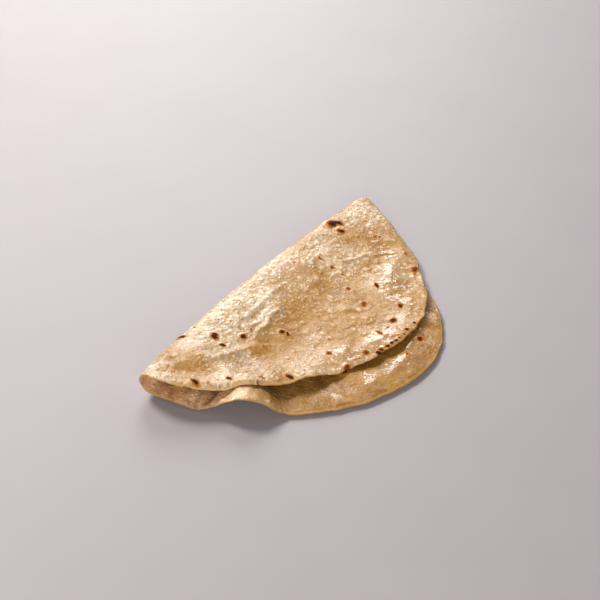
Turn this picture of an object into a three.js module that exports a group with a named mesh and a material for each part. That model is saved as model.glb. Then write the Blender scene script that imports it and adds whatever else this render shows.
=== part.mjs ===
// A round wheat flatbread baked on a griddle and folded once across its middle, so that it lies as
// an uneven half disc. Millimetres, +Z up. It is shaped as a flat disc first, then folded over:
// "along" runs along the crease, "across" runs over it, negative on the lower leaf and positive on
// the upper one. Folded, +X follows the crease and the open side faces -Y. The origin ends up under
// the middle of the bounding box, on the surface that the bread lies on.
import * as THREE from 'three';

// Driving dimensions of the flat disc.
const MEAN_RADIUS = 97.5;
const THICKNESS = 1.9;
const RIM_THICKNESS = 1.3;
const RIM_TAPER = 0.1;
// Hand-rolled dough is never a true circle: slow waves round the rim, as waves per turn, height,
// and the bearing of a crest in degrees.
const RIM_WAVES = [
  { count: 1, height: 8.5, crest: -104 },
  { count: 2, height: 3.2, crest: 46 },
  { count: 3, height: 2.7, crest: 34 },
  { count: 4, height: 4.5, crest: -3 },
  { count: 5, height: 1.6, crest: -3 },
  { count: 6, height: 1.0, crest: -3 },
];
// Short bulges and dents of the rim, at a bearing in degrees.
const RIM_BULGES = [
  { bearing: 14, reach: 16, height: -3.2 },
  { bearing: 38, reach: 14, height: 1.8 },
  { bearing: 84, reach: 46, height: 1.4 },
  { bearing: -172, reach: 24, height: -4.2 },
  { bearing: -56, reach: 46, height: -2.2 },
];

// The crease: an open loop that is rounder at the left end than at the right one.
const HALF_CREASE = 102;
const LOOP_RADIUS = 4.7;
const LOOP_TAPER = 1.4;
const CREASE_BOW = 5.75;
const CREASE_SLANT = 2.75;
const CREASE_OFFSET = 2.25;

// The leaves: the upper one sinks from the loop until it rests on the lower one.
const LEAF_GAP = 0.6;
const SINK_LENGTH = 45;
const CONTACT_ROUNDING = 0.8;
// Where the leaves stand free, by bearing from the middle of the crease in degrees. A lift grows
// from nothing at the radius "from" to its whole height at the radius "to".
const LOWER_LIFTS = [
  { bearing: -149, reach: 14, from: 48, to: 98, height: 10.5 },
  { bearing: 180, reach: 16, from: 84, to: 104, height: 1.6 },
];
const LOWER_CURL = { from: 82, to: 104, height: 0.7 };
const UPPER_LIFTS = [
  { bearing: -150, reach: 42, from: 45, to: 92, height: 6.6 },
  { bearing: -126, reach: 10, from: 65, to: 83, height: 2.5 },
  { bearing: -84, reach: 46, from: 56, to: 94, height: 3.4 },
];

// Fineness of the faceted skin, and how strongly its rows crowd towards the crease.
const COLUMNS = 36;
const ROWS = 44;
const ROW_CROWDING = 1.35;
const RIM_ROUNDING = 0.6;
const SLOPE_STEP = 0.05;

const degrees = THREE.MathUtils.degToRad;

function smooth(value) {
  return THREE.MathUtils.smoothstep(value, 0, 1);
}

// A round hill of height 1 that falls to nothing at a distance of 1 either way.
function hill(distance) {
  return Math.abs(distance) < 1 ? 0.5 + 0.5 * Math.cos(Math.PI * distance) : 0;
}

function largerRounded(a, b) {
  return 0.5 * (a + b + Math.hypot(a - b, CONTACT_ROUNDING));
}

function bearingGap(angle, bearing) {
  const gap = THREE.MathUtils.radToDeg(angle) - bearing;
  return gap - 360 * Math.round(gap / 360);
}

function rimRadius(angle) {
  let radius = MEAN_RADIUS;
  for (const wave of RIM_WAVES) {
    radius += wave.height * Math.cos(wave.count * (angle - degrees(wave.crest)));
  }
  for (const bulge of RIM_BULGES) {
    radius += bulge.height * hill(bearingGap(angle, bulge.bearing) / bulge.reach);
  }
  return radius;
}

function loopRadius(along) {
  return LOOP_RADIUS - (LOOP_TAPER * along) / HALF_CREASE;
}

// How far towards +Y the crease reaches: bowed, and a little further out at its right end.
function creaseLine(along) {
  const share = along / HALF_CREASE;
  return CREASE_OFFSET + CREASE_BOW * (1 - share * share) + CREASE_SLANT * share;
}

function liftOf(lifts, x, y) {
  let height = 0;
  for (const lift of lifts) {
    const spread = hill(bearingGap(Math.atan2(y, x), lift.bearing) / lift.reach);
    height += lift.height * spread * smooth((Math.hypot(x, y) - lift.from) / (lift.to - lift.from));
  }
  return height;
}

// Heights of the leaves' middle surfaces over the point (x, y).
function lowerHeight(x, y, thickness) {
  const rise = smooth((Math.hypot(x, y) - LOWER_CURL.from) / (LOWER_CURL.to - LOWER_CURL.from));
  return thickness / 2 + LOWER_CURL.height * rise + liftOf(LOWER_LIFTS, x, y);
}

// How much further apart than on the flat two leaves lie, measured upright, over a slope.
function slopeStretch(x, y, thickness) {
  const here = lowerHeight(x, y, thickness);
  const riseAlong = (lowerHeight(x + SLOPE_STEP, y, thickness) - here) / SLOPE_STEP;
  const riseAcross = (lowerHeight(x, y + SLOPE_STEP, thickness) - here) / SLOPE_STEP;
  return Math.hypot(1, riseAlong, riseAcross);
}

function upperHeight(x, y, thickness) {
  const radius = loopRadius(x);
  const resting = (THICKNESS + LEAF_GAP) * slopeStretch(x, y, thickness);
  const sunk = smooth((creaseLine(x) - y - radius) / SINK_LENGTH);
  const loose = thickness / 2 + resting + (2 * radius - resting) * (1 - sunk);
  const free = loose + liftOf(UPPER_LIFTS, x, y);
  return largerRounded(free, lowerHeight(x, y, thickness) + resting);
}

// The middle of the dough, folded: a half loop at the crease, then one leaf over the other.
function middleSurface(along, across, thickness) {
  const radius = loopRadius(along);
  const quarter = (Math.PI * radius) / 2;
  const turn = THREE.MathUtils.clamp(across / radius, -Math.PI / 2, Math.PI / 2);
  const beyond = Math.max(Math.abs(across) - quarter, 0);
  const y = creaseLine(along) - radius * (1 - Math.cos(turn)) - beyond;
  if (beyond > 0) {
    const height = across > 0 ? upperHeight : lowerHeight;
    return new THREE.Vector3(along, y, height(along, y, thickness));
  }
  const leafStart = creaseLine(along) - radius;
  const low = lowerHeight(along, leafStart, thickness);
  const high = upperHeight(along, leafStart, thickness);
  return new THREE.Vector3(along, y, (low + high) / 2 + ((high - low) / 2) * Math.sin(turn));
}

// The direction from the middle of the dough towards the inside of the fold.
function inwardNormal(along, across, thickness) {
  const alongStep = middleSurface(along + SLOPE_STEP, across, thickness);
  alongStep.sub(middleSurface(along - SLOPE_STEP, across, thickness));
  const acrossStep = middleSurface(along, across + SLOPE_STEP, thickness);
  acrossStep.sub(middleSurface(along, across - SLOPE_STEP, thickness));
  return alongStep.cross(acrossStep).normalize();
}

// One point of the flat disc from a grid of the square -1..1, whose outer cells follow the rim.
function discPoint(columnShare, rowShare) {
  const row = Math.sign(rowShare) * Math.abs(rowShare) ** ROW_CROWDING;
  const x = columnShare * Math.sqrt(1 - (row * row) / 2);
  const y = row * Math.sqrt(1 - (columnShare * columnShare) / 2);
  const share = Math.min(Math.hypot(x, y), 1);
  const angle = Math.atan2(y, x);
  const reach = rimRadius(angle);
  const taper = smooth((share - 1 + RIM_TAPER) / RIM_TAPER);
  return {
    along: share * reach * Math.cos(angle),
    across: share * reach * Math.sin(angle),
    outward: new THREE.Vector2(Math.cos(angle), Math.sin(angle)),
    thickness: THREE.MathUtils.lerp(THICKNESS, RIM_THICKNESS, taper),
  };
}

// Both skins and the nose of the rim for one grid point.
function skinPoints(point, onRim) {
  const { along, across, outward, thickness } = point;
  const middle = middleSurface(along, across, thickness);
  const half = (thickness / 2) * (onRim ? RIM_ROUNDING : 1);
  const step = inwardNormal(along, across, thickness).multiplyScalar(half);
  const nose = middleSurface(
    along + outward.x * (thickness / 2),
    across + outward.y * (thickness / 2),
    thickness,
  );
  return { outer: middle.clone().sub(step), inner: middle.clone().add(step), nose };
}

function chapatiGeometry() {
  const positions = [];
  const indices = [];

  function addVertex(point) {
    positions.push(point.x, point.y, Math.max(point.z, 0));
    return positions.length / 3 - 1;
  }

  function addQuad(a, b, c, d) {
    indices.push(a, b, c, a, c, d);
  }

  const grid = [];
  for (let row = 0; row <= ROWS; row += 1) {
    grid.push([]);
    for (let column = 0; column <= COLUMNS; column += 1) {
      const onRim = row === 0 || row === ROWS || column === 0 || column === COLUMNS;
      const point = discPoint((2 * column) / COLUMNS - 1, (2 * row) / ROWS - 1);
      const skins = skinPoints(point, onRim);
      grid[row].push({
        outer: addVertex(skins.outer),
        inner: addVertex(skins.inner),
        nose: onRim ? addVertex(skins.nose) : -1,
      });
    }
  }

  for (let row = 0; row < ROWS; row += 1) {
    for (let column = 0; column < COLUMNS; column += 1) {
      const a = grid[row][column];
      const b = grid[row][column + 1];
      const c = grid[row + 1][column + 1];
      const d = grid[row + 1][column];
      addQuad(a.inner, b.inner, c.inner, d.inner);
      addQuad(a.outer, d.outer, c.outer, b.outer);
    }
  }

  const rim = [];
  for (let column = 0; column < COLUMNS; column += 1) rim.push(grid[0][column]);
  for (let row = 0; row < ROWS; row += 1) rim.push(grid[row][COLUMNS]);
  for (let column = COLUMNS; column > 0; column -= 1) rim.push(grid[ROWS][column]);
  for (let row = ROWS; row > 0; row -= 1) rim.push(grid[row][0]);
  rim.forEach((here, place) => {
    const next = rim[(place + 1) % rim.length];
    addQuad(here.outer, next.outer, next.nose, here.nose);
    addQuad(here.nose, next.nose, next.inner, here.inner);
  });

  const geometry = new THREE.BufferGeometry();
  geometry.setAttribute('position', new THREE.Float32BufferAttribute(positions, 3));
  geometry.setIndex(indices);
  geometry.computeBoundingBox();
  const centre = geometry.boundingBox.getCenter(new THREE.Vector3());
  geometry.translate(-centre.x, -centre.y, 0);
  geometry.computeVertexNormals();
  return geometry;
}

const bakedDough = new THREE.MeshStandardMaterial({
  color: new THREE.Color(0.85, 0.71, 0.54),
  roughness: 0.6,
  metalness: 0,
});

const chapati = new THREE.Mesh(chapatiGeometry(), bakedDough);
chapati.name = 'chapati';

const model = new THREE.Group();
model.add(chapati);

export default model;
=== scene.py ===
import math

import bpy
import numpy as np
from mathutils import Matrix, Vector


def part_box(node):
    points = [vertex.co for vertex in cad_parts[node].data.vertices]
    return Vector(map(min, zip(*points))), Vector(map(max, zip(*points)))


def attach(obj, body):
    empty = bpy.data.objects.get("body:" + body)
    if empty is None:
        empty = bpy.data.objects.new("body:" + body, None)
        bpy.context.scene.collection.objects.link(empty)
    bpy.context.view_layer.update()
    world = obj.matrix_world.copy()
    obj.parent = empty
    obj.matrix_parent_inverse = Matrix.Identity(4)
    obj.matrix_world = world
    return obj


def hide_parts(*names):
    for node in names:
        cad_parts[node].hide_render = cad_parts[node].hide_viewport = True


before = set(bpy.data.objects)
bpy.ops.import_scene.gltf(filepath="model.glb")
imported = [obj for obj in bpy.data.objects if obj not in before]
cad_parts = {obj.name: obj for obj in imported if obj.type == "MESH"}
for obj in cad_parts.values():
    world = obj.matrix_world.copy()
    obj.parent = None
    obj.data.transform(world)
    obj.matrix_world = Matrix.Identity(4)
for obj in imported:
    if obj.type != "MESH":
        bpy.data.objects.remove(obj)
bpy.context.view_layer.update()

# A chapati folded once across its middle. The shape is worked out in millimetres in its own
# frame, with X along the crease, -Y towards the open side and Z up from the floor, and is then
# centred on the CAD node's box. "Along" and "across" are places on the flat disc: along the
# crease and over it, negative across on the lower leaf and positive on the upper one.
MM = 0.001
NODE = "chapati"

# The flat disc, as in the CAD part. Rim waves are waves per turn, height and the bearing of a
# crest in degrees. Rim bulges are bearing, reach and height.
MEAN_RADIUS = 97.5
THICKNESS = 1.9
RIM_THICKNESS = 1.3
RIM_TAPER = 0.1
RIM_WAVES = ((1, 8.5, -104), (2, 3.2, 46), (3, 2.7, 34), (4, 4.5, -3), (5, 1.6, -3), (6, 1.0, -3))
RIM_BULGES = ((14, 16, -3.2), (38, 14, 1.8), (84, 46, 1.4), (-172, 24, -4.2), (-56, 46, -2.2))

# The crease and the leaves, as in the CAD part. A lift is a bearing and reach in degrees, the
# radius where it starts, the radius where it is whole, and its height. The curl runs all round
# and has only the last three.
HALF_CREASE = 102
LOOP_RADIUS = 4.7
LOOP_TAPER = 1.4
CREASE_BOW = 5.75
CREASE_SLANT = 2.75
CREASE_OFFSET = 2.25
LEAF_GAP = 0.6
SINK_LENGTH = 45
CONTACT_ROUNDING = 0.8
LOWER_LIFTS = ((-149, 14, 48, 98, 10.5), (180, 16, 84, 104, 1.6))
LOWER_CURL = (82, 104, 0.7)
UPPER_LIFTS = ((-150, 42, 45, 92, 6.6), (-126, 10, 65, 83, 2.5), (-84, 46, 56, 94, 3.4))

# What the CAD part leaves out. The rim's roughness is waves per millimetre and height. The
# waviness of a leaf is where it starts, where it is whole, its wavelength and its height: by
# radius, but by the distance from the crease for the upper leaf's swell.
RIM_ROUGHNESS = ((0.16, 0.55), (0.45, 0.28))
LOWER_RIM_RIPPLE = (70, 92, 10, 0.4)
UPPER_RIM_RIPPLE = (72, 92, 8.5, 0.4)
UPPER_SWELL = (0, 12, 23, 0.5)

# Fineness of the mesh: columns along the crease and rows per leaf, on the coarse grid. The upper
# leaf's outer skin has twice as many of both.
COLUMNS = 170
ROWS = 78
SLOPE_STEP = 0.05

# The skins near the rim: where it starts, as a share of the radius, how much of the thickness is
# left there, and how much of the relief is lost.
RIM_START = 0.985
RIM_ROUNDING = 0.62
RIM_CALM = 0.8

# Broad relief of the upper leaf, seen from above: centre x and y, half length, half width,
# bearing in degrees and height. It starts a little past the crease.
UPPER_RIDGES = (
    (-16, -11, 20, 1.6, 3, 0.55),
    (-25, -17, 15, 1.4, 6, 0.6),
    (-27, -21, 16, 1.8, 9, 1.1),
    (-40, -26, 10, 3.0, 14, 0.7),
    (-58, -25, 17, 3.0, -26, 1.4),
    (-64, -35, 7, 5.0, -30, -1.1),
    (-86, -19, 15, 7.0, -50, -1.6),
    (-82, -37, 24, 3.5, -48, 0.9),
    (9, -44, 11, 2.2, -56, 0.5),
    (49, -24, 9, 1.1, -22, 0.55),
    (61, -32, 8, 1.1, -38, 0.5),
    (50, -48, 14, 5.5, 36, 0.9),
    (-21, -62, 9, 5.0, -20, 0.8),
    (-3, -71, 11, 3.0, -6, 0.6),
    (77, -29, 5, 4.0, 20, 0.5),
    (73, -39, 7, 3.5, 60, 0.6),
    (24, -40, 8, 5.0, 20, 0.45),
)
UPPER_RIDGE_SCALE = 1.15
UPPER_RELIEF_START = 3

# Blisters that rise as a ring: centre x and y, radius, width and height.
RING_BLISTERS = ((34, -17, 8.0, 1.5, 0.45), (19, -51, 3.2, 1.0, 0.3))

# Broad relief of the lower leaf's inner face, in the words of the upper leaf's ridges.
LOWER_RIDGES = (
    (-92.8, -24, 4, 0.9, 40, -0.8),
    (-84.5, -33, 6.5, 1.3, -13, -1.1),
    (-84, -36.5, 6, 1.8, -13, 0.7),
    (-93, -13, 5, 1.3, 10, -0.5),
    (-92, -18, 6, 1.8, 20, 0.5),
    (-88, -27.5, 6, 1.6, 30, 0.5),
    (-80, -44, 8, 1.4, 35, 0.5),
    (-76, -50, 8, 1.4, 28, -0.5),
    (-71, -55, 8, 1.6, 35, 0.45),
    (-25, -86, 7, 3.5, 10, 0.45),
    (-9, -89, 11, 3.0, 4, 0.5),
    (13, -84, 12, 3.0, 12, 0.45),
    (-59, -64, 6, 3.0, -30, 0.4),
    (36, -74, 12, 3.0, 40, 0.4),
)

# Pleats that run in from the rim on the inner face: the length of rim in one degree of bearing,
# their wavelength along the rim, how many times longer they are inwards, the radii between which
# they grow, and their height. In the pocket at the left and at the right edge they are higher by
# the third number, from nothing at the first X to all of it at the second.
RIM_PER_DEGREE = 1.7
PLEAT_WAVELENGTH = 4.2
PLEAT_STRETCH = 5
PLEAT_BAND = (66, 82)
PLEAT_HEIGHT = 0.55
POCKET_PLEATS = (-55, -80, 0.3)
RIGHT_PLEATS = (15, 40, 0.5)

# Small and wide blisters: the spacing of their lattice, the share of its cells that hold one, and
# the smallest and largest radius. The small ones grow with the crowding.
SMALL_BLISTERS = {"spacing": 3.3, "share": 0.75, "radii": (0.9, 1.6)}
WIDE_BLISTERS = {"spacing": 6.5, "share": 0.36, "radii": (1.2, 2.4)}
SMALL_BLISTER_BASE = 0.12
SMALL_BLISTER_GROWTH = 1.5
CELL_MARGIN = 0.1
LOWEST_BLISTER = 0.45
BLISTER_STEEPNESS = 1.5

# Heights of the small and the wide blisters on each skin. The inner one takes them from elsewhere
# on the disc, so that the two skins differ.
OUTER_BLISTER_HEIGHTS = (0.3, 0.42)
INNER_BLISTER_HEIGHTS = (0.12, 0.18)
INNER_BLISTER_SHIFT = (31, 17)

# How thickly the blisters stand: anywhere, and more in a band beside the crease.
CROWD_BASE = 0.28
CROWD_AT_CREASE = 0.5
CROWD_BAND_CENTRE = 6
CROWD_BAND_WIDTH = 26
LEAST_CROWD = 0.04

# How far patterns wander sideways, so that none looks regular: wavelength and reach.
BLISTER_WANDER = (3.1, 0.7)
RIDGE_WANDER = (7, 1.4)
MARK_WANDER = (1.9, 0.45)

# Griddle marks, black or only scorched brown: x and y from above, and radius.
BLACK_MARKS = (
    (65, 1, 2.7), (68, -1, 1.9), (63, -6, 1.8), (-67, 1, 1.8), (-56, -11, 1.7), (-54, -10, 1.3),
    (-58, -18, 1.2), (-44, -20, 1.4), (-103, -15, 1.0), (-91, -26, 1.8), (-78, -37, 1.2),
    (-26, -31, 1.4), (-25, -34, 1.2), (-71, -49, 0.9), (-54, -56, 1.7), (17, -70, 1.7),
    (30, -66, 1.4), (38, -46, 1.4), (74, -24, 0.9), (47, -36, 0.8), (60, -56, 0.9),
)
BROWN_MARKS = (
    (-35, -11, 0.7), (-96, -26, 1.3), (-87, -31, 0.7), (-67, -39, 1.0), (-43, -32, 1.0),
    (-51, -31, 0.7), (-65, -47, 1.0), (-25, -59, 1.3), (-20, -72, 0.7), (4, -70, 1.5),
    (10, -71, 0.9), (42, -50, 0.7), (20, -50, 1.4), (34, -20, 1.1), (35, -12, 1.1),
    (26, -19, 0.9), (48, -14, 0.8), (66, -15, 0.8), (73, -22, 1.0), (26, -36, 1.2),
    (55, -36, 0.9), (34, -27, 0.8), (71, -43, 1.0), (46, -60, 0.8), (63, -54, 1.8),
    (-28, -72, 1.6), (-13, -73, 1.3),
)
LOWER_MARKS = ((16, -87, 1.9), (2, -88, 1.1), (-58, -52, 1.1), (-29, -71, 1.6), (-25, -72, 1.2))

# Griddle marks in a row on the upper lip: x, radius, and distance in from the rim.
LIP_BEADS = (
    (-9, 1.4, 0.7), (-6.2, 1.1, 1.0), (-2.5, 1.0, 1.1), (0.8, 0.9, 1.5), (3.6, 0.9, 1.2),
    (6.6, 0.8, 1.6), (10.5, 0.7, 1.0), (14.5, 1.1, 1.9), (22, 0.9, 1.3),
)

# How marks look: under the full radius they are weaker, each is turned and stretched unlike the
# one before, and a brown one stays below its peak. Each has burnt the flank of a low dome, whose
# radius, shift towards the crease and height are given in radii of the mark.
FULL_MARK_RADIUS = 1.3
WEAKNESS_PER_MM = 0.9
MARK_TURN = 1.9
MARK_STRETCH = 1.15
MARK_STRETCH_SPREAD = 0.3
MARK_STRETCH_STEP = 2.3
BROWN_PEAK = 0.16
DOME_SPREAD = 1.9
DOME_SHIFT = 0.7
DOME_HEIGHT = 0.3
NO_MARK = -2.0

# Marks at random places: how many, radii, and between which distances over the crease. They
# keep clear of the rim. The underside has only its own marks, from a line under the crease on.
FRECKLES = (46, (0.55, 0.85), -4, 96)
UNDERSIDE_MARKS = (34, (1.2, 2.5), -96, -8)
UNDERSIDE_START = -4
RANDOM_MARK_MARGIN = 2

# Where oil lies: x and y from above, and radius. On the inner face it fills a share of the
# relief under it, and all of that share where it is at least so strong.
UPPER_OIL = (
    (-22, -66, 8), (-27, -69, 6), (1, -72, 8), (7, -74, 7), (43, -54, 9), (38, -58, 7),
    (54, -44, 8), (45, -30, 4), (66, -36, 5), (37, -66, 5),
)
LOWER_OIL = (
    (10, -85, 7), (-4, -89, 6), (-11, -91, 8), (-16, -93, 6), (-26, -87, 7), (24, -81, 3),
    (28, -79, 3), (-46, -77, 3), (-49, -75, 2.5), (-60, -65, 5.5), (-65, -64, 4), (-61, -75, 3),
    (-64, -73, 3), (-67, -70, 3), (-34, -94, 3.5), (-30, -96, 3.5), (-71, -43, 4), (-85, -46, 4),
)
OIL_FILLING = 0.6
FILLING_STRENGTH = 0.5
NO_OIL = -1.0

# Depth below the even skin at which a hollow counts as a full valley, which gets the full painted
# shade on the inner face.
VALLEY_DEPTH = 0.6

# How far off the inner face's patterns are taken, so that they differ from the outer skin's.
INNER_PATTERN_SHIFT = 40

# The view: where the camera looks, in the same frame, and from where.
VIEW_TARGET = (8.5, -17.8, 0.0)
VIEW_AZIMUTH = -55.8
VIEW_ELEVATION = 36.9
VIEW_ROLL = 1.93
VIEW_DISTANCE = 889.3
VIEW_WIDTH_DEGREES = 20.0
CLIP_START = 0.05
CLIP_END = 20.0

# Lights: name, direction from the target, distance and diameter in metres, watts and tint.
LIGHTS = (
    ("key", (0.07, 0.72, 0.69), 1.2, 0.4, 12.5, (1.0, 0.985, 0.96)),
    ("window", (0.66, 0.57, 0.46), 1.5, 0.85, 13.0, (1.0, 1.0, 1.0)),
    ("fill", (-0.75, -0.5, 0.36), 1.6, 1.4, 17.0, (1.0, 0.98, 0.95)),
)
STUDIO_TINT = (0.93, 0.95, 1.0, 1.0)
STUDIO_STRENGTH = 0.23

# The floor, in metres. It lies a hair below the bread, so that the two don't meet exactly. The
# cloud is the wavelength of its faint mottling.
FLOOR_HALF = 4.0
FLOOR_DROP = 0.0003
FLOOR_CLOUD = 0.05
FLOOR_ROUGHNESS = 0.55

# Sizes of the tables of random numbers, in cells.
NOISE_CELLS = (67, 61)
SMALL_BLISTER_CELLS = (61, 67)
WIDE_BLISTER_CELLS = (43, 47)

rng = np.random.default_rng(7)


def smooth(value):
    value = np.clip(value, 0.0, 1.0)
    return value * value * (3 - 2 * value)


def fade(value, start, end):
    """0 at the start, 1 at the end and smooth between them. The start may be the larger one."""
    return smooth((value - start) / (end - start))


def hill(distance):
    """A round hill of height 1 that falls to nothing at a distance of 1 either way."""
    return 0.5 + 0.5 * np.cos(np.pi * np.clip(distance, -1, 1))


def larger_rounded(a, b):
    return 0.5 * (a + b + np.hypot(a - b, CONTACT_ROUNDING))


def bearing_gap(angle, bearing):
    gap = np.degrees(angle) - bearing
    return gap - 360 * np.round(gap / 360)


def turned(x, y, at_x, at_y, angle):
    """Distances from a point, along a line at the angle to X and square to it."""
    along = (x - at_x) * math.cos(angle) + (y - at_y) * math.sin(angle)
    square = (y - at_y) * math.cos(angle) - (x - at_x) * math.sin(angle)
    return along, square


def lattice_noise(x, y, wavelength, table):
    """Smooth noise between -1 and 1 from a table of random numbers."""
    rows, columns = table.shape
    x, y = x / wavelength, y / wavelength
    left, low = np.floor(x).astype(int), np.floor(y).astype(int)
    tx, ty = smooth(x - left), smooth(y - low)
    a = table[left % rows, low % columns]
    b = table[(left + 1) % rows, low % columns]
    c = table[left % rows, (low + 1) % columns]
    d = table[(left + 1) % rows, (low + 1) % columns]
    return (a + (b - a) * tx) * (1 - ty) + (c + (d - c) * tx) * ty


def noise_table():
    return rng.uniform(-1, 1, NOISE_CELLS)


def blister_table(cells):
    """Five random numbers for each cell: place x and y, radius, whether it is there, height."""
    return rng.random((*cells, 5))


def scattered_marks(count, radii, across_from, across_to):
    """Griddle marks at random places of the flat disc, between two distances over the crease."""
    marks = []
    while len(marks) < count:
        along = rng.uniform(-MEAN_RADIUS, MEAN_RADIUS)
        across = rng.uniform(across_from, across_to)
        if math.hypot(along, across) < MEAN_RADIUS - RANDOM_MARK_MARGIN:
            marks.append((along, across, rng.uniform(*radii)))
    return marks


rim_table = noise_table()
swell_table = noise_table()
grain_table = noise_table()
wander_tables = (noise_table(), noise_table())
small_blister_table = blister_table(SMALL_BLISTER_CELLS)
wide_blister_table = blister_table(WIDE_BLISTER_CELLS)
freckles = scattered_marks(*FRECKLES)
underside_marks = scattered_marks(*UNDERSIDE_MARKS)

# Layers of noise, each a wavelength, a height and a table: the low swells of the two skins, and
# the patches in which blisters crowd.
OUTER_SWELLS = ((3.1, 0.11, grain_table), (6.3, 0.2, swell_table), (13.5, 0.34, grain_table))
INNER_SWELLS = ((3.4, 0.12, grain_table), (8.0, 0.16, swell_table))
CROWD_PATCHES = ((21, 0.42, swell_table), (9, 0.252, grain_table))


def layered_noise(layers, x, y):
    total = np.zeros_like(x)
    for wavelength, height, table in layers:
        total += height * lattice_noise(x, y, wavelength, table)
    return total


def wander(x, y, wavelength, reach):
    """Sideways shifts along X and along Y at the place (x, y)."""
    return tuple(reach * lattice_noise(x, y, wavelength, table) for table in wander_tables)


def caps(x, y, spacing, share, radii, table):
    """Round blisters, 0 to 1 high, at jittered places: at most one in each cell of a lattice."""
    cell_x, cell_y = np.floor(x / spacing).astype(int), np.floor(y / spacing).astype(int)
    jitter = 1 - 2 * CELL_MARGIN
    smallest, largest = radii
    best = np.zeros_like(x)
    rows, columns, _ = table.shape
    for step_x in (-1, 0, 1):
        for step_y in (-1, 0, 1):
            cx, cy = cell_x + step_x, cell_y + step_y
            draw = table[cx % rows, cy % columns]
            at_x = (cx + CELL_MARGIN + jitter * draw[..., 0]) * spacing
            at_y = (cy + CELL_MARGIN + jitter * draw[..., 1]) * spacing
            radius = smallest + (largest - smallest) * draw[..., 2]
            height = LOWEST_BLISTER + (1 - LOWEST_BLISTER) * draw[..., 4]
            height = np.where(draw[..., 3] < share, height, 0)
            reach = np.clip(1 - ((x - at_x) ** 2 + (y - at_y) ** 2) / radius**2, 0, 1)
            best = np.maximum(best, height * reach**BLISTER_STEEPNESS)
    return best


def rim_radius(angle):
    radius = np.full_like(angle, MEAN_RADIUS)
    for count, height, crest in RIM_WAVES:
        radius += height * np.cos(count * (angle - math.radians(crest)))
    for bearing, reach, height in RIM_BULGES:
        radius += height * hill(bearing_gap(angle, bearing) / reach)
    x, y = MEAN_RADIUS * np.cos(angle), MEAN_RADIUS * np.sin(angle)
    for frequency, height in RIM_ROUGHNESS:
        radius += height * lattice_noise(x, y, 1 / frequency, rim_table)
    return radius


def loop_radius(along):
    return LOOP_RADIUS - LOOP_TAPER * along / HALF_CREASE


def crease_line(along):
    share = along / HALF_CREASE
    return CREASE_OFFSET + CREASE_BOW * (1 - share * share) + CREASE_SLANT * share


def lift_of(lift, x, y):
    bearing, reach, start, end, height = lift
    spread = hill(bearing_gap(np.arctan2(y, x), bearing) / reach)
    return height * spread * fade(np.hypot(x, y), start, end)


def ridges(shapes, x, y):
    """The sum of long round ridges, and valleys where the height is negative."""
    total = np.zeros_like(x)
    for at_x, at_y, length, width, bearing, height in shapes:
        p, q = turned(x, y, at_x, at_y, math.radians(bearing))
        total += height * np.exp(-((p / length) ** 4) - (q / width) ** 2)
    return total


def lower_height(x, y, thickness):
    reach = np.hypot(x, y)
    start, end, height = LOWER_CURL
    rise = height * fade(reach, start, end)
    start, end, wavelength, height = LOWER_RIM_RIPPLE
    ripple = 0.5 + 0.5 * lattice_noise(x, y, wavelength, swell_table)
    rise = rise + height * ripple * fade(reach, start, end)
    for lift in LOWER_LIFTS:
        rise = rise + lift_of(lift, x, y)
    return thickness / 2 + rise


def slope_stretch(x, y, thickness):
    """How much further apart than on the flat two leaves lie, measured upright, over a slope."""
    here = lower_height(x, y, thickness)
    rise_along = (lower_height(x + SLOPE_STEP, y, thickness) - here) / SLOPE_STEP
    rise_across = (lower_height(x, y + SLOPE_STEP, thickness) - here) / SLOPE_STEP
    return np.sqrt(1 + rise_along**2 + rise_across**2)


def upper_height(x, y, thickness):
    radius = loop_radius(x)
    resting = (THICKNESS + LEAF_GAP) * slope_stretch(x, y, thickness)
    behind = crease_line(x) - y - radius
    sunk = smooth(behind / SINK_LENGTH)
    free = thickness / 2 + resting + (2 * radius - resting) * (1 - sunk)
    for lift in UPPER_LIFTS:
        free = free + lift_of(lift, x, y)
    start, end, wavelength, height = UPPER_SWELL
    swell = lattice_noise(x, y, wavelength, swell_table)
    free = free + height * fade(behind, start, end) * swell
    start, end, wavelength, height = UPPER_RIM_RIPPLE
    ripple = lattice_noise(x, y, wavelength, grain_table)
    free = free + height * fade(np.hypot(x, y), start, end) * ripple
    return larger_rounded(free, lower_height(x, y, thickness) + resting)


def middle_surface(along, across, thickness):
    """The middle of the dough, folded: a half loop at the crease, then one leaf over the other."""
    radius = loop_radius(along)
    turn = np.clip(across / radius, -np.pi / 2, np.pi / 2)
    beyond = np.maximum(np.abs(across) - np.pi * radius / 2, 0)
    y = crease_line(along) - radius * (1 - np.cos(turn)) - beyond
    start = crease_line(along) - radius
    low, high = lower_height(along, start, thickness), upper_height(along, start, thickness)
    loop = (low + high) / 2 + (high - low) / 2 * np.sin(turn)
    lower, upper = lower_height(along, y, thickness), upper_height(along, y, thickness)
    leaf = np.where(across > 0, upper, lower)
    return np.stack([along, y, np.where(beyond > 0, leaf, loop)], axis=-1)


def inward_normal(along, across, thickness):
    """The direction from the middle of the dough towards the inside of the fold."""
    step = SLOPE_STEP
    run = middle_surface(along + step, across, thickness)
    run = run - middle_surface(along - step, across, thickness)
    turn = middle_surface(along, across + step, thickness)
    turn = turn - middle_surface(along, across - step, thickness)
    normal = np.cross(run, turn)
    return normal / np.linalg.norm(normal, axis=-1, keepdims=True)


def square_to_disc(a, b):
    """Even cells on a disc from a grid on the square -1..1, whose outer cells follow the rim."""
    wide = np.abs(a) >= np.abs(b)
    first, second = np.where(wide, a, b), np.where(wide, b, a)
    safe = np.where(first == 0, 1, first)
    turn = np.pi / 4 * second / safe
    long_side, short_side = first * np.cos(turn), first * np.sin(turn)
    return np.where(wide, long_side, short_side), np.where(wide, short_side, long_side)


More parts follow.
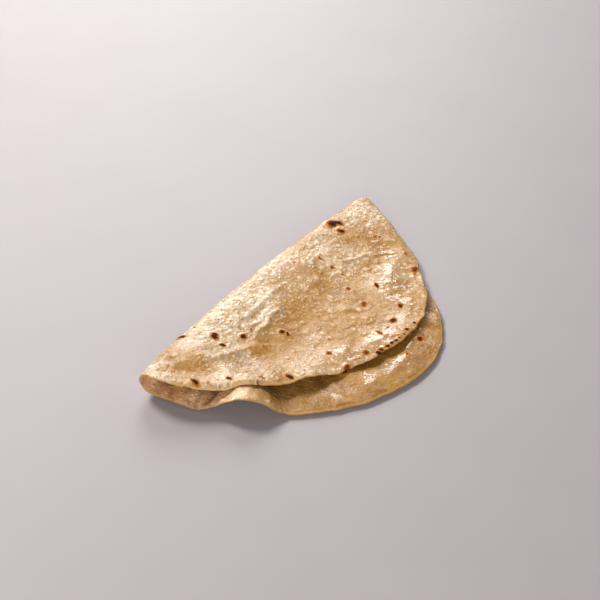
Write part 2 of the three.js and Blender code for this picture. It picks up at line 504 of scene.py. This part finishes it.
def disc_points(a, b):
    """Places on the flat disc, their bearing and share of the radius, and the thickness there."""
    x, y = square_to_disc(a, b)
    share = np.clip(np.hypot(x, y), 0, 1)
    angle = np.arctan2(y, x)
    reach = rim_radius(angle)
    taper = smooth((share - 1 + RIM_TAPER) / RIM_TAPER)
    return {
        "along": share * reach * np.cos(angle),
        "across": share * reach * np.sin(angle),
        "angle": angle,
        "share": share,
        "thickness": THICKNESS + (RIM_THICKNESS - THICKNESS) * taper,
    }


def crowding(along, across):
    """How thickly the blisters stand, from 0 to 1: most of all along the crease."""
    near_crease = np.exp(-((across - CROWD_BAND_CENTRE) / CROWD_BAND_WIDTH) ** 2)
    patches = layered_noise(CROWD_PATCHES, along, across)
    return np.clip(CROWD_BASE + CROWD_AT_CREASE * near_crease + patches, LEAST_CROWD, 1)


def blister_heights(along, across):
    """Small and wide blisters, each 0 to 1 high."""
    shift_x, shift_y = wander(along, across, *BLISTER_WANDER)
    x, y = along + shift_x, across + shift_y
    growth = smooth(SMALL_BLISTER_BASE + SMALL_BLISTER_GROWTH * crowding(along, across))
    small = caps(x, y, table=small_blister_table, **SMALL_BLISTERS) * growth
    wide = caps(x, y, table=wide_blister_table, **WIDE_BLISTERS)
    return small, wide


def mark_strength(marks, x, y, peak=1.0):
    """Up to the peak in the middle of a griddle mark, 0 at its edge, and down to -2 outside it.

    A small mark is a weaker one, and one with a low peak stays brown.
    """
    strength = np.full_like(x, NO_MARK)
    for number, (at_x, at_y, radius) in enumerate(marks):
        weakness = WEAKNESS_PER_MM * max(0.0, FULL_MARK_RADIUS - radius)
        stretch = MARK_STRETCH + MARK_STRETCH_SPREAD * math.sin(MARK_STRETCH_STEP * number)
        p, q = turned(x, y, at_x, at_y, MARK_TURN * number)
        strength = np.maximum(strength, 1 - weakness - np.hypot(p / stretch, q * stretch) / radius)
    return np.minimum(strength, peak)


def bead_strength(x, share):
    """Griddle marks in a row on the upper lip, in the words of mark_strength."""
    strength = np.full_like(x, NO_MARK)
    inward = (1 - share) * MEAN_RADIUS
    for at_x, radius, inset in LIP_BEADS:
        strength = np.maximum(strength, 1 - np.hypot(x - at_x, inward - inset) / radius)
    return strength


def oil_strength(patches, x, y):
    """1 in the middle of an oily patch, falling past 0 at its edge to -1."""
    strength = np.full_like(x, NO_OIL)
    for at_x, at_y, radius in patches:
        strength = np.maximum(strength, 1 - np.hypot(x - at_x, y - at_y) / radius)
    return strength


def mark_domes(marks, x, y):
    """The low blister that each griddle mark has burnt the flank of."""
    total = np.zeros_like(x)
    for at_x, at_y, radius in marks:
        behind = at_y + DOME_SHIFT * radius
        distance = np.hypot(x - at_x, y - behind) / (DOME_SPREAD * radius)
        total = np.maximum(total, DOME_HEIGHT * radius * np.clip(1 - distance**2, 0, 1))
    return total


def outer_relief(along, across, place):
    """How far the outer skin stands proud of an even thickness, in millimetres."""
    blisters = blister_heights(along, across)
    proud = sum(height * part for height, part in zip(OUTER_BLISTER_HEIGHTS, blisters))
    proud += layered_noise(OUTER_SWELLS, along, across)
    x, y = place[..., 0], place[..., 1]
    shift_x, shift_y = wander(x, y, *RIDGE_WANDER)
    upper = UPPER_RIDGE_SCALE * ridges(UPPER_RIDGES, x + shift_x, y + shift_y)
    upper += mark_domes(BLACK_MARKS + BROWN_MARKS, x, y)
    for at_x, at_y, radius, width, height in RING_BLISTERS:
        distance = np.hypot(x - at_x, y - at_y) - radius
        upper += height * np.exp(-((distance / width) ** 2))
    return proud + upper * smooth(across / UPPER_RELIEF_START)


def pleat_relief(along, across, x):
    bearing = np.degrees(np.arctan2(across, along))
    reach = np.hypot(along, across)
    around, inward = bearing * RIM_PER_DEGREE, reach / PLEAT_STRETCH
    pleats = lattice_noise(around, inward, PLEAT_WAVELENGTH, wander_tables[0])
    height = PLEAT_HEIGHT
    for start, end, extra in (POCKET_PLEATS, RIGHT_PLEATS):
        height = height + extra * fade(x, start, end)
    return height * pleats * fade(reach, *PLEAT_BAND)


def inner_relief(along, across, place):
    """How far the inner skin stands proud of an even thickness, in millimetres."""
    shift_along, shift_across = INNER_BLISTER_SHIFT
    blisters = blister_heights(along + shift_along, across + shift_across)
    proud = sum(height * part for height, part in zip(INNER_BLISTER_HEIGHTS, blisters))
    proud += layered_noise(INNER_SWELLS, along, across)
    x, y = place[..., 0], place[..., 1]
    proud += pleat_relief(along, across, x)
    filled = smooth(oil_strength(LOWER_OIL, x, y) / FILLING_STRENGTH)
    proud *= 1 - OIL_FILLING * filled
    lower = ridges(LOWER_RIDGES, x, y) + mark_domes(LOWER_MARKS, x, y)
    return proud + np.where(across < 0, lower, 0)


def inner_marks(along, across, place):
    shift_x, shift_y = wander(along, across, *MARK_WANDER)
    marks = mark_strength(LOWER_MARKS, place[..., 0] + shift_x, place[..., 1] + shift_y)
    return np.where(across < 0, marks, NO_MARK)


def outer_marks(along, across, place, share):
    shift_x, shift_y = wander(along, across, *MARK_WANDER)
    x, y = place[..., 0] + shift_x, place[..., 1] + shift_y
    upper = np.maximum(mark_strength(BLACK_MARKS, x, y), bead_strength(x, share))
    upper = np.maximum(upper, mark_strength(BROWN_MARKS, x, y, BROWN_PEAK))
    upper = np.maximum(upper, mark_strength(freckles, along, across))
    under = mark_strength(underside_marks, along, across)
    return np.where(across > UNDERSIDE_START, upper, under)


def surface_values(along, across, place, share, side):
    """What the material needs to know of each point of a skin, apart from its valleys."""
    x, y = place[..., 0], place[..., 1]
    small, wide = blister_heights(along, across)
    if side == "inner":
        shown, oil, dome_marks = across < 0, LOWER_OIL, LOWER_MARKS
        marks = inner_marks(along, across, place)
    else:
        shown, oil, dome_marks = across > 0, UPPER_OIL, BLACK_MARKS + BROWN_MARKS
        marks = outer_marks(along, across, place, share)
    domes = np.where(shown, mark_domes(dome_marks, x, y), 0)
    return {
        "along": along,
        "across": across,
        "place": place,
        "share": share,
        "char": marks,
        "oil": np.where(shown, oil_strength(oil, x, y), NO_OIL),
        "blister": np.maximum(np.maximum(small, wide), domes),
        "crowd": crowding(along, across),
        "inside": np.full_like(along, 1.0 if side == "inner" else 0.0),
    }


def skin(a, b, side):
    """Points and surface values of one skin. side is "outer", "inner" or "nose" for the rim."""
    disc = disc_points(a, b)
    along, across, thickness = disc["along"], disc["across"], disc["thickness"]
    if side == "nose":
        along = along + np.cos(disc["angle"]) * thickness / 2
        across = across + np.sin(disc["angle"]) * thickness / 2
    place = middle_surface(along, across, thickness)
    valley = np.zeros_like(along)
    if side != "nose":
        at_rim = fade(disc["share"], RIM_START, 1)
        half = thickness / 2 * (1 + (RIM_ROUNDING - 1) * at_rim)
        relief = outer_relief if side == "outer" else inner_relief
        proud = relief(along, across, place) * (1 - RIM_CALM * at_rim)
        valley = np.clip(-proud / VALLEY_DEPTH, 0, 1)
        sign = -1 if side == "outer" else 1
        step = sign * inward_normal(along, across, thickness)
        place = place + step * (half + proud)[..., None]
    place[..., 2] = np.maximum(place[..., 2], 0)
    values = surface_values(along, across, place, disc["share"], side)
    values["valley"] = valley
    return values


class Dough:
    """Gathers the vertices, their surface values and the faces of the one closed mesh."""

    SURFACE_VALUES = ("share", "char", "oil", "blister", "crowd", "valley", "inside")
    NAMES = ("along", "across", *SURFACE_VALUES)

    def __init__(self):
        self.places = []
        self.values = {name: [] for name in self.NAMES}
        self.faces = []
        self.count = 0

    def add(self, values):
        """Takes in the points of a skin and returns their vertex numbers, in the same shape."""
        shape = values["along"].shape
        self.places.append(values["place"].reshape(-1, 3))
        for name in self.NAMES:
            self.values[name].append(values[name].ravel())
        numbers = self.count + np.arange(values["along"].size).reshape(shape)
        self.count += values["along"].size
        return numbers

    def quads(self, a, b, c, d, flipped):
        corners = (a, d, c, b) if flipped else (a, b, c, d)
        self.faces.extend(np.stack(corners, axis=-1).reshape(-1, 4).tolist())

    def grid(self, numbers, flipped):
        self.quads(numbers[:-1, :-1], numbers[:-1, 1:], numbers[1:, 1:], numbers[1:, :-1], flipped)

    def strip(self, first, second, flipped):
        self.quads(first[:-1], first[1:], second[1:], second[:-1], flipped)

    def ladder(self, coarse, fine, flipped):
        """Faces between a coarse row of vertices and one with twice as many steps."""
        for k in range(len(coarse) - 1):
            face = [coarse[k], coarse[k + 1], fine[2 * k + 2], fine[2 * k + 1], fine[2 * k]]
            self.faces.append(face[::-1] if flipped else face)


def rim_of(numbers):
    """The vertices of an upper leaf's grid round its rim, from the left end to the right one."""
    return np.concatenate([numbers[:-1, 0], numbers[-1, :-1], numbers[::-1, -1]])


def rim_places(values_a, values_b):
    """Grid places round the upper rim, from the left end of the crease to the right one."""
    n, m = len(values_a), len(values_b)
    rim_a = np.concatenate([np.full(m - 1, -1.0), values_a[:-1], np.full(m, 1.0)])
    rim_b = np.concatenate([values_b[:-1], np.full(n - 1, 1.0), values_b[::-1]])
    return rim_a, rim_b


def build_dough():
    dough = Dough()
    fine_a, fine_b = np.linspace(-1, 1, 2 * COLUMNS + 1), np.linspace(0, 1, 2 * ROWS + 1)
    coarse_a, coarse_b = fine_a[::2], fine_b[::2]

    a, b = np.meshgrid(fine_a, fine_b)
    outer_upper = dough.add(skin(a, b, "outer"))
    a, b = np.meshgrid(coarse_a, -coarse_b[1:])
    outer_lower = dough.add(skin(a, b, "outer"))
    a, b = np.meshgrid(coarse_a, np.concatenate([-coarse_b[:0:-1], coarse_b]))
    inner = dough.add(skin(a, b, "inner"))

    nose_upper = dough.add(skin(*rim_places(fine_a, fine_b), "nose"))
    rim_a, rim_b = rim_places(coarse_a, coarse_b)
    nose_lower = dough.add(skin(rim_a[1:-1], -rim_b[1:-1], "nose"))
    nose_lower = np.concatenate([nose_upper[:1], nose_lower, nose_upper[-1:]])

    dough.grid(outer_upper, flipped=True)
    dough.grid(outer_lower, flipped=False)
    dough.ladder(outer_lower[0], outer_upper[0], flipped=True)
    dough.grid(inner, flipped=False)

    middle_row = len(coarse_b) - 1
    inner_upper, inner_lower = inner[middle_row:], inner[middle_row::-1]
    outer_lower_rim = rim_of(np.vstack([outer_upper[0, ::2], outer_lower]))
    dough.strip(rim_of(outer_upper), nose_upper, flipped=True)
    dough.ladder(rim_of(inner_upper), nose_upper, flipped=False)
    dough.strip(outer_lower_rim, nose_lower, flipped=False)
    dough.strip(rim_of(inner_lower), nose_lower, flipped=True)
    return dough


def chapati_mesh(dough, shift):
    places = np.concatenate(dough.places) + shift
    mesh = bpy.data.meshes.new(NODE)
    mesh.from_pydata((places * MM).tolist(), [], dough.faces)
    mesh.update()
    values = {name: np.concatenate(dough.values[name]) for name in dough.NAMES}
    depth = INNER_PATTERN_SHIFT * values["inside"]
    rest = np.stack([values["along"], values["across"], depth], axis=-1)
    attribute = mesh.attributes.new("rest", "FLOAT_VECTOR", "POINT")
    attribute.data.foreach_set("vector", rest.ravel().astype(np.float32))
    for name in dough.SURFACE_VALUES:
        attribute = mesh.attributes.new(name, "FLOAT", "POINT")
        attribute.data.foreach_set("value", values[name].astype(np.float32))
    mesh.shade_smooth()
    return mesh


class Nodes:
    """Short words for building one node tree."""

    def __init__(self, tree):
        self.tree = tree
        tree.nodes.clear()

    def add(self, kind, **settings):
        node = self.tree.nodes.new(kind)
        for name, value in settings.items():
            setattr(node, name, value)
        return node

    def put(self, value, socket):
        if isinstance(value, bpy.types.NodeSocket):
            self.tree.links.new(value, socket)
        else:
            socket.default_value = value

    def attribute(self, name, output="Fac"):
        node = self.add("ShaderNodeAttribute", attribute_name=name)
        return node.outputs[output]

    def math(self, operation, *values, clamp=False):
        node = self.add("ShaderNodeMath", operation=operation, use_clamp=clamp)
        for socket, value in zip(node.inputs, values):
            self.put(value, socket)
        return node.outputs[0]

    def plus(self, *values, clamp=False):
        return self.math("ADD", *values, clamp=clamp)

    def minus(self, first, second):
        return self.math("SUBTRACT", first, second)

    def times(self, first, second):
        return self.math("MULTIPLY", first, second)

    def ramp(self, value, low, high):
        """0 below low, 1 above high and smooth between them."""
        node = self.add("ShaderNodeMapRange", interpolation_type="SMOOTHSTEP")
        self.put(value, node.inputs["Value"])
        node.inputs["From Min"].default_value = low
        node.inputs["From Max"].default_value = high
        return node.outputs["Result"]

    def scaled(self, value, low, high):
        """A value from 0 to 1, brought to the range from low to high."""
        node = self.add("ShaderNodeMapRange")
        self.put(value, node.inputs["Value"])
        node.inputs["To Min"].default_value = low
        node.inputs["To Max"].default_value = high
        return node.outputs["Result"]

    def mix(self, share, first, second):
        node = self.add("ShaderNodeMix", data_type="RGBA")
        self.put(share, node.inputs[0])
        self.put(first, node.inputs[6])
        self.put(second, node.inputs[7])
        return node.outputs[2]

    def noise(self, where, wavelength, detail=2.0, roughness=0.5, distortion=0.0):
        node = self.add("ShaderNodeTexNoise")
        self.put(where, node.inputs["Vector"])
        node.inputs["Scale"].default_value = 1 / wavelength
        node.inputs["Detail"].default_value = detail
        node.inputs["Roughness"].default_value = roughness
        node.inputs["Distortion"].default_value = distortion
        return node.outputs["Fac"]

    def cell_distance(self, where, spacing):
        """The distance to the nearest of points strewn at the spacing, in spacings."""
        node = self.add("ShaderNodeTexVoronoi", feature="F1")
        self.put(where, node.inputs["Vector"])
        node.inputs["Scale"].default_value = 1 / spacing
        return node.outputs["Distance"]

    def principled(self, linked, fixed):
        """A shader with linked sockets and plain numbers, joined to the material's output."""
        shader = self.add("ShaderNodeBsdfPrincipled")
        for name, value in (linked | fixed).items():
            self.put(value, shader.inputs[name])
        output = self.add("ShaderNodeOutputMaterial")
        self.put(shader.outputs["BSDF"], output.inputs["Surface"])


def colour(red, green, blue):
    """A colour given as 0 to 255 in sRGB, as the linear colour that shaders take."""
    linear = []
    for value in (red, green, blue):
        value /= 255
        linear.append(value / 12.92 if value <= 0.04045 else ((value + 0.055) / 1.055) ** 2.4)
    return (*linear, 1.0)


WHEAT = colour(190, 144, 79)
# Pale dough, and also painted glints on bead and blister tops and painted sheen along the fold.
PALE_AND_SHEEN = colour(255, 237, 211)
GOLDEN = colour(159, 107, 40)
FLECK = colour(188, 122, 42)
INNER_WHEAT = colour(178, 129, 54)
INNER_GOLDEN = colour(146, 97, 32)
# The pocket's mouth: drier, paler dough, brightened further with painted light for the light
# reaching into the pocket.
INNER_DRY_AND_LIT = colour(255, 216, 168)
INNER_DRY_AND_LIT_GOLDEN = colour(224, 168, 108)
# The colour of the painted shade in the inner face's valleys.
INNER_PAINTED_SHADE = colour(140, 92, 44)
RIM_TONE = colour(222, 178, 116)
HALO = colour(188, 119, 34)
SCORCHED = colour(118, 54, 6)
BURNT = colour(26, 11, 4)
FLOOR_DARK = colour(166, 158, 160)
FLOOR_LIGHT = colour(172, 164, 166)

# Patterns of the dough. Wavelengths and spacings are millimetres of the flat disc. An _EDGE is
# the pair of values between which a pattern goes from none to all, and a _RANGE is the pair that
# it is brought to.
MOTTLE = {"wavelength": 2.6, "detail": 4, "roughness": 0.6, "distortion": 0.4}
BROAD = {"wavelength": 14, "detail": 3}
FINE = {"wavelength": 0.8, "detail": 2}
GRAIN = {"wavelength": 0.45, "detail": 2}

# White beads of dough, whose whiteness is partly paler dough and partly painted glints: their
# spacing, how their size varies, and where they are whitest.
BEAD_SPACING = 2.1
BEAD_SIZE = {"wavelength": 3.3, "detail": 1}
BEAD_SIZE_RANGE = (-0.3, 0.45)
BEAD_EDGE = (0.12, 0.5)
BEAD_CROWD_EDGE = (-0.2, 0.6)
WHITE_PATCHES = {"wavelength": 4.5, "detail": 2}
WHITE_PATCH_EDGE = (0.38, 0.6)
WHITE_RANGE = (0.45, 1.35)

# Toasting, from wheat to golden: the sum of three patterns, less on blisters. The mouth of the
# pocket is drier and paler, and lighter still with painted light for the light that reaches
# into it, by the distance along the crease.
TOAST_BROAD_RANGE = (-0.7, 0.7)
TOAST_MOTTLE_RANGE = (-0.8, 0.8)
TOAST_FINE_RANGE = (-0.5, 0.5)
TOAST_BLISTER_LOSS = 0.3
TOAST_EDGE = (-0.3, 0.4)
DRY_AND_LIT_EDGE = (-90, -70)

# Pale tops: beads and blisters, partly paler dough and partly painted glints, and a creamy bloom
# where they crowd, partly paler dough along the fold and partly painted sheen. Less inside the
# fold.
BLISTER_EDGE = (0.1, 0.9)
BEAD_PALENESS_AND_GLINT = 0.42
CREAM_CROWD_EDGE = (0.25, 0.95)
CREAM_MOTTLE_EDGE = (0.3, 0.66)
CREAM_PALENESS_AND_SHEEN = 0.62
INNER_PALENESS_LOSS = 0.7

# Painted shade darkening the valleys of the inner face, golden flecks, and the paler rim.
VALLEY_PAINTED_SHADE = 0.55
FLECK_SPACING = 4.0
FLECK_EDGE = (0.11, 0.2)
FLECK_DEPTH = 0.9
FLECK_INNER_LOSS = 0.5
RIM_EDGE = (0.989, 0.998)
RIM_PALENESS = 0.5

# Griddle marks, from the outside in, by strength. The fine pattern makes their edges ragged.
CHAR_FINE_RANGE = (-0.5, 0.5)
HALO_EDGE = (-0.75, -0.3)
SCORCHED_EDGE = (-0.12, 0.12)
BURNT_EDGE = (0.16, 0.4)
DULL_EDGE = (-0.4, 0.0)

# Fine relief, as heights in millimetres.
MOTTLE_HEIGHT = 0.28
GRAIN_HEIGHT = 0.08
BEAD_HEIGHT = 0.33

# Oil: ragged patches with fine dry seams swirling through them, and a light gloss where blisters
# crowd. Marks are dry and rough.
OIL = {"wavelength": 3.6, "detail": 3, "distortion": 1.4}
OIL_RANGE = (-1.5, 1.5)
OIL_EDGE = (0.26, 0.34)
SWIRL = {"wavelength": 4.0, "detail": 1, "distortion": 1.6}
SWIRL_MIDDLE = 0.5
SEAM_EDGE = (0.008, 0.03)
CROWD_GLOSS_RANGE = (0.0, 0.3)
ROUGHNESS_RANGE = (0.26, 0.52)
BEAD_SMOOTHNESS = 0.14
MARK_ROUGHNESS = 0.5

DOUGH_CONSTANTS = {
    "Subsurface Weight": 0.25,
    "Subsurface Radius": (1.0, 0.8, 0.6),
    "Subsurface Scale": 0.0008,
    "Specular IOR Level": 0.3,
    "Coat Roughness": 0.07,
    "Coat IOR": 1.47,
}


def surface_patterns(nodes):
    """The mesh's surface values and the shared patterns of the dough, by name."""
    rest = nodes.attribute("rest", "Vector")
    patterns = {name: nodes.attribute(name) for name in Dough.SURFACE_VALUES}
    patterns["rest"] = rest
    patterns["mottle"] = nodes.noise(rest, **MOTTLE)
    patterns["fine"] = nodes.noise(rest, **FINE)
    sizes = nodes.scaled(nodes.noise(rest, **BEAD_SIZE), *BEAD_SIZE_RANGE)
    distance = nodes.plus(nodes.cell_distance(rest, BEAD_SPACING), sizes)
    bead = nodes.minus(1.0, nodes.ramp(distance, *BEAD_EDGE))
    patterns["bead"] = nodes.times(bead, nodes.ramp(patterns["crowd"], *BEAD_CROWD_EDGE))
    ragged = nodes.scaled(patterns["fine"], *CHAR_FINE_RANGE)
    patterns["ragged"] = nodes.plus(patterns["char"], ragged)
    patterns["dull"] = nodes.ramp(patterns["ragged"], *DULL_EDGE)
    return patterns


def toasted_tone(nodes, patterns):
    rest, inside = patterns["rest"], patterns["inside"]
    broad = nodes.scaled(nodes.noise(rest, **BROAD), *TOAST_BROAD_RANGE)
    toasted = nodes.plus(broad, nodes.scaled(patterns["mottle"], *TOAST_MOTTLE_RANGE))
    toasted = nodes.plus(toasted, nodes.scaled(patterns["fine"], *TOAST_FINE_RANGE))
    toasted = nodes.minus(toasted, nodes.times(patterns["blister"], TOAST_BLISTER_LOSS))
    places = nodes.add("ShaderNodeSeparateXYZ")
    nodes.put(rest, places.inputs[0])
    # Paler at the pocket's mouth: drier dough, and painted light for the light reaching in.
    dry_and_lit = nodes.minus(1.0, nodes.ramp(places.outputs["X"], *DRY_AND_LIT_EDGE))
    wheat = nodes.mix(inside, WHEAT, nodes.mix(dry_and_lit, INNER_WHEAT, INNER_DRY_AND_LIT))
    golden = nodes.mix(inside, GOLDEN, nodes.mix(dry_and_lit, INNER_GOLDEN, INNER_DRY_AND_LIT_GOLDEN))
    return nodes.mix(nodes.ramp(toasted, *TOAST_EDGE), wheat, golden)


def with_pale_tops_and_painted_sheen(nodes, patterns, tone):
    # Partly paler dough and partly painted light: white glints on beads and blisters, and a sheen
    # where blisters crowd along the fold.
    patches = nodes.noise(patterns["rest"], **WHITE_PATCHES)
    white = nodes.scaled(nodes.ramp(patches, *WHITE_PATCH_EDGE), *WHITE_RANGE)
    tops_and_glints = nodes.times(patterns["bead"], white)
    tops_and_glints = nodes.math("MAXIMUM", tops_and_glints, nodes.ramp(patterns["blister"], *BLISTER_EDGE))
    cream_and_sheen = nodes.ramp(patterns["crowd"], *CREAM_CROWD_EDGE)
    cream_and_sheen = nodes.times(cream_and_sheen, nodes.ramp(patterns["mottle"], *CREAM_MOTTLE_EDGE))
    tops_and_glints, cream_and_sheen = nodes.times(tops_and_glints, BEAD_PALENESS_AND_GLINT), nodes.times(cream_and_sheen, CREAM_PALENESS_AND_SHEEN)
    paleness_and_sheen = nodes.plus(tops_and_glints, cream_and_sheen, clamp=True)
    outside = nodes.minus(1.0, nodes.times(patterns["inside"], INNER_PALENESS_LOSS))
    return nodes.mix(nodes.times(paleness_and_sheen, outside), tone, PALE_AND_SHEEN)


def with_shade_and_flecks(nodes, patterns, tone):
    # Painted shade: the deeper a valley of the inner face, the darker it is painted.
    shade = nodes.times(patterns["valley"], patterns["inside"])
    tone = nodes.mix(nodes.times(shade, VALLEY_PAINTED_SHADE), tone, INNER_PAINTED_SHADE)
    distance = nodes.cell_distance(patterns["rest"], FLECK_SPACING)
    fleck = nodes.minus(1.0, nodes.ramp(distance, *FLECK_EDGE))
    depth = nodes.minus(FLECK_DEPTH, nodes.times(patterns["inside"], FLECK_INNER_LOSS))
    tone = nodes.mix(nodes.times(fleck, depth), tone, FLECK)
    rim = nodes.ramp(patterns["share"], *RIM_EDGE)
    return nodes.mix(nodes.times(rim, RIM_PALENESS), tone, RIM_TONE)


def with_griddle_marks(nodes, patterns, tone):
    for edge, mark_tone in ((HALO_EDGE, HALO), (SCORCHED_EDGE, SCORCHED), (BURNT_EDGE, BURNT)):
        tone = nodes.mix(nodes.ramp(patterns["ragged"], *edge), tone, mark_tone)
    return tone


def fine_relief(nodes, patterns):
    grain = nodes.noise(patterns["rest"], **GRAIN)
    height = nodes.times(patterns["mottle"], MOTTLE_HEIGHT)
    height = nodes.plus(height, nodes.times(grain, GRAIN_HEIGHT))
    height = nodes.plus(height, nodes.times(patterns["bead"], BEAD_HEIGHT))
    bump = nodes.add("ShaderNodeBump")
    bump.inputs["Strength"].default_value = 1.0
    bump.inputs["Distance"].default_value = MM
    nodes.put(height, bump.inputs["Height"])
    return bump.outputs["Normal"]


def oily_coat(nodes, patterns):
    rest = patterns["rest"]
    oil = nodes.plus(patterns["oil"], nodes.scaled(nodes.noise(rest, **OIL), *OIL_RANGE))
    swirl = nodes.minus(nodes.noise(rest, **SWIRL), SWIRL_MIDDLE)
    unseamed = nodes.ramp(nodes.math("ABSOLUTE", swirl), *SEAM_EDGE)
    oily = nodes.times(nodes.ramp(oil, *OIL_EDGE), unseamed)
    coat = nodes.plus(oily, nodes.scaled(patterns["crowd"], *CROWD_GLOSS_RANGE))
    return nodes.times(coat, nodes.minus(1.0, patterns["dull"]))


def dough_roughness(nodes, patterns):
    shine = nodes.scaled(patterns["mottle"], *ROUGHNESS_RANGE)
    shine = nodes.minus(shine, nodes.times(patterns["bead"], BEAD_SMOOTHNESS))
    return nodes.plus(shine, nodes.times(patterns["dull"], MARK_ROUGHNESS))


def dough_material():
    material = bpy.data.materials.new("baked_dough")
    material.use_nodes = True
    nodes = Nodes(material.node_tree)
    patterns = surface_patterns(nodes)
    tone = toasted_tone(nodes, patterns)
    tone = with_pale_tops_and_painted_sheen(nodes, patterns, tone)
    tone = with_shade_and_flecks(nodes, patterns, tone)
    tone = with_griddle_marks(nodes, patterns, tone)
    linked = {
        "Base Color": tone,
        "Roughness": dough_roughness(nodes, patterns),
        "Normal": fine_relief(nodes, patterns),
        "Coat Weight": oily_coat(nodes, patterns),
    }
    nodes.principled(linked, DOUGH_CONSTANTS)
    return material


def make_chapati(dough, shift):
    piece = bpy.data.objects.new("folded_chapati", chapati_mesh(dough, shift))
    bpy.context.scene.collection.objects.link(piece)
    piece.data.materials.append(dough_material())
    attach(piece, "root")
    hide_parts(NODE)


def fold_frame_shift(dough):
    """From the fold's own frame to the row's: the middle of the dough goes to the CAD node's."""
    low, high = (np.array(corner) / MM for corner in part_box(NODE))
    places = np.concatenate(dough.places)
    middle = (places.min(axis=0) + places.max(axis=0)) / 2
    return np.array([*((low + high) / 2 - middle)[:2], 0.0])


def facing(direction):
    """The turn that makes a camera or a light look along the direction."""
    return direction.to_track_quat("-Z", "Y").to_matrix().to_4x4()


def make_camera(target):
    azimuth, elevation = math.radians(VIEW_AZIMUTH), math.radians(VIEW_ELEVATION)
    back = Vector((
        math.sin(azimuth) * math.cos(elevation),
        -math.cos(azimuth) * math.cos(elevation),
        math.sin(elevation),
    ))
    data = bpy.data.cameras.new("camera")
    data.angle = math.radians(VIEW_WIDTH_DEGREES)
    data.clip_start = CLIP_START
    data.clip_end = CLIP_END
    camera = bpy.data.objects.new("camera", data)
    roll = Matrix.Rotation(math.radians(VIEW_ROLL), 4, "Z")
    place = Matrix.Translation(target + back * VIEW_DISTANCE * MM)
    camera.matrix_world = place @ facing(-back) @ roll
    bpy.context.scene.collection.objects.link(camera)
    bpy.context.scene.camera = camera


def make_lights(target):
    for name, direction, distance, size, power, tint in LIGHTS:
        data = bpy.data.lights.new(name, "AREA")
        data.shape = "DISK"
        data.size = size
        data.energy = power
        data.color = tint
        light = bpy.data.objects.new(name, data)
        aim = Vector(direction).normalized()
        light.matrix_world = Matrix.Translation(target + aim * distance) @ facing(-aim)
        bpy.context.scene.collection.objects.link(light)
    world = bpy.data.worlds.new("studio")
    world.use_nodes = True
    background = world.node_tree.nodes["Background"]
    background.inputs["Color"].default_value = STUDIO_TINT
    background.inputs["Strength"].default_value = STUDIO_STRENGTH
    bpy.context.scene.world = world


def floor_material():
    material = bpy.data.materials.new("pale_floor")
    material.use_nodes = True
    nodes = Nodes(material.node_tree)
    where = nodes.add("ShaderNodeTexCoord").outputs["Object"]
    cloud = nodes.noise(where, FLOOR_CLOUD, detail=3)
    tone = nodes.mix(cloud, FLOOR_DARK, FLOOR_LIGHT)
    nodes.principled({"Base Color": tone}, {"Roughness": FLOOR_ROUGHNESS})
    return material


def make_floor():
    half = FLOOR_HALF
    mesh = bpy.data.meshes.new("floor")
    corners = [(-half, -half, 0), (half, -half, 0), (half, half, 0), (-half, half, 0)]
    mesh.from_pydata(corners, [], [(0, 1, 2, 3)])
    mesh.materials.append(floor_material())
    floor = bpy.data.objects.new("floor", mesh)
    floor.location.z = -FLOOR_DROP
    bpy.context.scene.collection.objects.link(floor)


chapati_dough = build_dough()
fold_shift = fold_frame_shift(chapati_dough)
view_target = (Vector(VIEW_TARGET) + Vector(fold_shift)) * MM
make_camera(view_target)
make_lights(view_target)
make_floor()
make_chapati(chapati_dough, fold_shift)
bpy.context.scene.view_settings.view_transform = "Standard"
